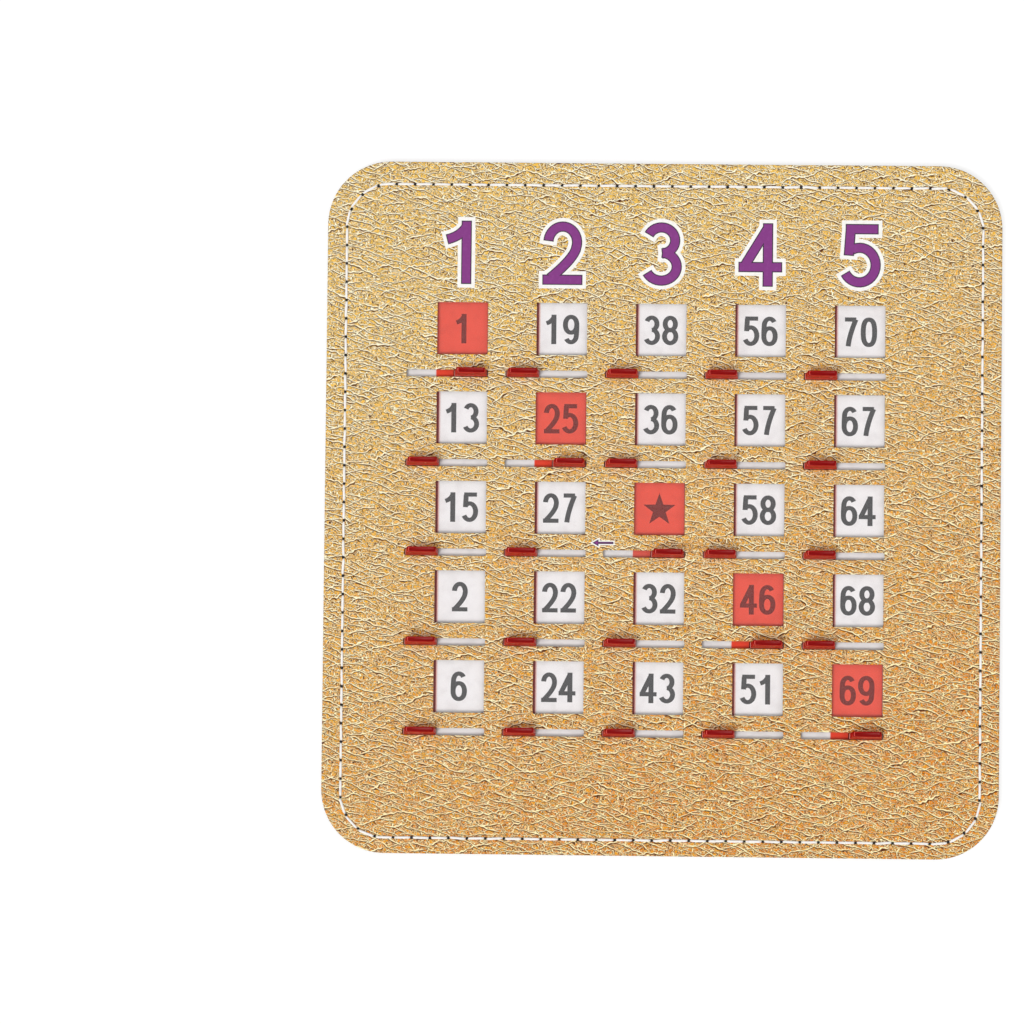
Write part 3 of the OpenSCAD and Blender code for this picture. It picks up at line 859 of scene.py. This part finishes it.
def makeSlabs(name, slabs, material):
    points, faces, total = [], [], 0
    for slabPoints, slabFaces in slabs:
        points.append(slabPoints)
        faces += [[int(i) + total for i in face] for face in slabFaces]
        total += len(slabPoints)
    makePiece(name, np.concatenate(points), faces, [material], "card", smooth=False)


# Figures printed on the number sheet, and a star in the middle square
print("print")
numbers = {
    "rows": [[1, 19, 38, 56, 70], [13, 25, 36, 57, 67], [15, 27, None, 58, 64],
             [2, 22, 32, 46, 68], [6, 24, 43, 51, 69]],
    "paperZ": 1.30, "sink": 0.02, "rise": 0.012, "width": 5.7, "height": 10.3, "pitch": 6.4,
    "strokeX": 1.74, "strokeY": 1.46, "star": (5.9, 2.35), "starDrop": 0.3,
}


def numberSlabs(look):
    slabs = []
    low, high = look["paperZ"] - look["sink"], look["paperZ"] + look["rise"]
    for row, values in enumerate(look["rows"]):
        for column, value in enumerate(values):
            if value is None:
                corner = np.arange(10)
                angle = math.pi / 2 + corner * math.pi / 5
                reach = np.where(corner % 2 == 0, *look["star"])
                star = np.stack([reach * np.cos(angle), reach * np.sin(angle)], 1)
                slabs.append(loopSlab(star + [columnX[column], rowY[row] - look["starDrop"]], low, high))
                continue
            figures = str(value)
            for place, figure in enumerate(figures):
                x = columnX[column] + (place - (len(figures) - 1) / 2) * look["pitch"]
                slabs += figureSlabs(figure, x, rowY[row], look, low, high)
    return slabs


makeSlabs("numberInk", numberSlabs(numbers), finishes["ink"])

# Column headings 1 to 5 and the arrow above the middle slot, printed on the leatherette
heading = {
    "y": 88.9, "width": 14.0, "height": 22.2, "strokeX": 3.6, "strokeY": 3.6, "sink": 0.08,
    # how far each layer rises, and how far it grows past the figures' strokes and past the arrow's outline
    "layers": {"headingOutline": (0.03, 1.25, 0.42), "headingEdge": (0.045, 0.0, 0.0),
               "headingFill": (0.06, -0.36, -0.28)},
}
arrow = {"x": (-23.2, -15.9), "y": -12.0, "headLength": 2.1, "headHalf": 1.2, "shaftHalf": 0.4}


def arrowLoop(look):
    left, right = look["x"]
    neck = left + look["headLength"]
    half, shaft = look["headHalf"], look["shaftHalf"]
    lower = [[left, 0], [neck, -half], [neck, -shaft], [right, -shaft]]
    upper = [[right, shaft], [neck, shaft], [neck, half]]
    return np.array(lower + upper) + [columnX[card["squares"] // 2], look["y"]]


for layer, (rise, grow, arrowGrow) in heading["layers"].items():
    low, high = card["faceZ"] - heading["sink"], card["faceZ"] + rise
    slabs = []
    for column in range(card["squares"]):
        slabs += figureSlabs(str(column + 1), columnX[column], heading["y"], heading, low, high, grow)
    slabs.append(loopSlab(grownLoop(arrowLoop(arrow), arrowGrow), low, high))
    makeSlabs(layer, slabs, finishes[layer])

shutter = {
    "plate": (-9.1, 8.9, -17.9, 10.3), "plateZ": (1.4, 1.7), "plateCorner": 0.8, "bevel": 0.06,
    "shadedRims": (1.3, 0.3),  # how far a plate's rim reaches in, a paler edge and then a band of painted shade: shutters at the left, at the right
    "tabLeft": -2.7, "tabRight": 8.7, "tabY": -15.75, "tabHalf": 1.05, "tabCorner": 0.3, "cornerShare": 0.9,
    # glint: the level of a painted glint near the left end of the tab's top; above rimZ and behind rimY the
    # top is given the shaded deep red
    "glint": 0.2, "rimZ": 7.7, "rimY": 0.4, "travel": 16.4,
    # heights up the tab, how far its left end, right end, front and back are pulled in, and its level of
    # painted light and shade: a dark foot as painted shadow, a pale painted highlight at the edge, bright lit
    # sides and a shaded deep red top
    "tabLevels": np.array([
        (1.45, -0.26, 0.0, 0.0, 0.0, 0.05), (3.20, -0.26, 0.0, 0.0, 0.0, 0.05),
        (3.30, 0.14, 0.06, 0.0, 0.0, 0.2), (3.90, 0.24, 0.14, 0.12, -0.10, 0.44),
        (5.00, 0.36, 0.26, 0.34, -0.28, 0.68), (7.40, 0.68, 0.58, 0.84, -0.68, 0.7),
        (7.78, 0.76, 0.66, 0.92, -0.74, 0.42), (8.00, 0.88, 0.80, 1.00, -0.72, 0.42),
        (8.11, 1.02, 0.96, 1.08, -0.64, 0.9), (8.15, 1.16, 1.10, 1.16, -0.54, 1.0),
        (8.08, 1.32, 1.18, 1.22, -0.46, 0.9), (8.03, 1.68, 1.28, 1.28, -0.40, 1.0),
    ]),
}


# Outline of a rectangle with round corners, the same count of points whatever its size
def roundOutline(middleX, middleY, halfX, halfY, radius, perCorner=6):
    angle = np.radians(np.concatenate([np.linspace(0, 90, perCorner) + 90 * quarter for quarter in range(4)]))
    sideX = np.repeat([1, -1, -1, 1], perCorner)
    sideY = np.repeat([1, 1, -1, -1], perCorner)
    return np.stack([middleX + sideX * (halfX - radius) + radius * np.cos(angle),
                     middleY + sideY * (halfY - radius) + radius * np.sin(angle)], 1)


# Outlines stacked up, joined by quads, the first and the last closed by a cap
def stackedShell(outlines, heights):
    count = len(outlines[0])
    points = np.concatenate([np.column_stack([outline, np.full(count, z)])
                             for outline, z in zip(outlines, heights)])
    ring = np.arange(len(outlines) * count).reshape(len(outlines), count)
    ahead = np.roll(ring, -1, 1)
    faces = np.stack([ring[:-1], ahead[:-1], ahead[1:], ring[1:]], -1).reshape(-1, 4).tolist()
    return points, faces + [ring[0, ::-1].tolist(), ring[-1].tolist()]


# One shutter: a thin plate with eased edges, and a tab that narrows upwards and leans towards the card's top,
# rounded on top, with a shallow recess
def shutterPiece(name, body, node, middleX, middleY, rim, look):
    left, right, bottom, top = look["plate"]
    low, high = look["plateZ"]
    plateX, plateY = middleX + (left + right) / 2, middleY + (bottom + top) / 2
    halfX, halfY, corner, bevel = (right - left) / 2, (top - bottom) / 2, look["plateCorner"], look["bevel"]
    plateOutlines = [roundOutline(plateX, plateY, halfX - inset, halfY - inset, corner - inset)
                     for inset in (bevel, 0.0, 0.0, bevel)]
    platePoints, plateFaces = stackedShell(plateOutlines, (low, low + bevel, high - bevel, high))

    heights, pullLeft, pullRight, pullFront, pullBack, tabShading = look["tabLevels"].T
    tabOutlines = []
    for leftIn, rightIn, frontIn, backIn in zip(pullLeft, pullRight, pullFront, pullBack):
        x0, x1 = middleX + look["tabLeft"] + leftIn, middleX + look["tabRight"] - rightIn
        y0, y1 = look["tabY"] - look["tabHalf"] + frontIn, look["tabY"] + look["tabHalf"] - backIn
        halfY = (y1 - y0) / 2
        tabOutlines.append(roundOutline((x0 + x1) / 2, middleY + (y0 + y1) / 2, (x1 - x0) / 2, halfY,
                                        min(look["tabCorner"], halfY * look["cornerShare"])))
    tabPoints, tabFaces = stackedShell(tabOutlines, heights)
    points = np.concatenate([platePoints, tabPoints])
    faces = plateFaces + [[i + len(platePoints) for i in face] for face in tabFaces]
    which = [0] * len(plateFaces) + [1] * len(tabFaces)
    materials = [finishes["plate"], finishes["tab"]]
    piece = makePiece(name, points, faces, materials, body, which)
    # the plate's level, 0 at its right edge: a paler edge, then painted shade across the rim's width
    plateRimShade = (middleX + right - platePoints[:, 0]) / rim
    tabShading = np.repeat(tabShading, len(tabOutlines[0]))
    # the back of the tab's top gets level 1, the painted shade of the deep red top
    backInShade = (tabPoints[:, 2] > look["rimZ"]) & (tabPoints[:, 1] > middleY + look["tabY"] + look["rimY"])
    # a pale painted glint near the left end of the top
    glint = (tabPoints[:, 2] == heights[-2]) & (tabPoints[:, 0] < middleX)
    level = np.concatenate([plateRimShade, np.where(glint, look["glint"], np.where(backInShade, 1.0, tabShading))])
    piece.data.attributes.new("level", "FLOAT", "POINT").data.foreach_set("value", level.astype(np.float32))
    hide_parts(node)


print("shutters")
for row in range(card["squares"]):
    for column in range(card["squares"]):
        closed, clears = row == column, row == column == card["squares"] // 2
        node = "clear_shutter" if clears else f"shutter_row{row + 1}_col{column + 1}"
        body = "clear_slide" if clears else node
        x = columnX[column] - (0.0 if closed else shutter["travel"])
        shutterPiece("slide" + node.replace("shutter", ""), body, node, x, rowY[row],
                     shutter["shadedRims"][closed], shutter)


# CAD nodes that keep their shape get their finish
def paintNode(node, material):
    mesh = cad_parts[node].data
    mesh.materials.clear()
    mesh.materials.append(material)


for node in ("front_board", "slide_frame", "guide_board", "back_board"):
    paintNode(node, finishes["board"])
paintNode("number_sheet", finishes["paper"])
paintNode("clearing_sheet", finishes["film"])

print("stage")
stage = {"half": 2.5, "floorZ": -0.3, "pale": (0.32, 0.32, 0.32), "rough": 0.9, "glow": 0.7, "world": 0.5,
         "key": 1.6, "keyFrom": (-0.62, -0.72, 1.7), "keyAngle": 24.0,
         "fill": 0.35, "fillFrom": (0.7, 0.5, 1.4), "fillAngle": 60.0}


# 1 for rays that show the surroundings: seen by the camera, mirrored or seen through plastic
def shownRays(tree):
    path = tree.nodes.new("ShaderNodeLightPath")
    seen, mirrored, through = (Field(tree, path.outputs[name])
                               for name in ("Is Camera Ray", "Is Glossy Ray", "Is Transmission Ray"))
    return seen.most(mirrored).most(through)


def floorFinish(look):
    f = Finish("paleFloor")
    base = f.surface(Base_Color=look["pale"], Roughness=look["rough"])
    glow = f.node("Emission", {}, {"Color": (1.0, 1.0, 1.0), "Strength": shownRays(f.tree) * look["glow"]})
    return f.finish(f.node("AddShader", {}, {0: base, 1: glow}))


floorMesh = bpy.data.meshes.new("floor")
floorMesh.from_pydata([(x * stage["half"], y * stage["half"], stage["floorZ"] * mm)
                       for x, y in ((-1, -1), (1, -1), (1, 1), (-1, 1))], [], [(0, 1, 2, 3)])
floorMesh.materials.append(floorFinish(stage))
floor = addObject("floor", floorMesh)

world = bpy.data.worlds.new("studio")
bpy.context.scene.world = world
world.use_nodes = True
tree = world.node_tree
tree.nodes.clear()
shade = tree.nodes.new("ShaderNodeBackground")
shade.inputs["Color"].default_value = (1.0, 1.0, 1.0, 1.0)
fillSocket(tree, shade.inputs["Strength"], shownRays(tree).lifted(stage["world"]))
tree.links.new(shade.outputs[0], tree.nodes.new("ShaderNodeOutputWorld").inputs["Surface"])


def sunLamp(name, strength, source, angle):
    lamp = bpy.data.lights.new(name, "SUN")
    lamp.energy, lamp.angle = strength, math.radians(angle)
    holder = addObject(name, lamp)
    holder.rotation_euler = (-Vector(source)).to_track_quat("-Z", "Y").to_euler()
    holder.location = Vector(source)


sunLamp("keyLamp", stage["key"], stage["keyFrom"], stage["keyAngle"])
sunLamp("fillLamp", stage["fill"], stage["fillFrom"], stage["fillAngle"])

# Camera fitted to the photograph's windows: a long lens above the card, tipped a little
view = {"focal": 3500.0, "picture": 1024.0, "sensor": 36.0, "clipEnd": 50.0,
        "turns": (-1.829, -1.062, -0.585), "offset": (51.3, 1.06, -1217.1), "target": (-0.9, 0.0, 3.35)}
turnX, turnY, turnZ = (Matrix.Rotation(math.radians(a), 3, axis) for a, axis in zip(view["turns"], "XYZ"))
turned = (turnZ @ turnY @ turnX).transposed()
place = Vector(view["target"]) - turned @ Vector(view["offset"])
lens = bpy.data.cameras.new("camera")
lens.sensor_width = view["sensor"]
lens.lens = view["focal"] / view["picture"] * view["sensor"]
lens.clip_end = view["clipEnd"]
camera = addObject("camera", lens)
camera.matrix_world = Matrix.Translation(place * mm) @ turned.to_4x4()
bpy.context.scene.camera = camera
bpy.context.scene.view_settings.view_transform = "Standard"

bpy.context.view_layer.update()
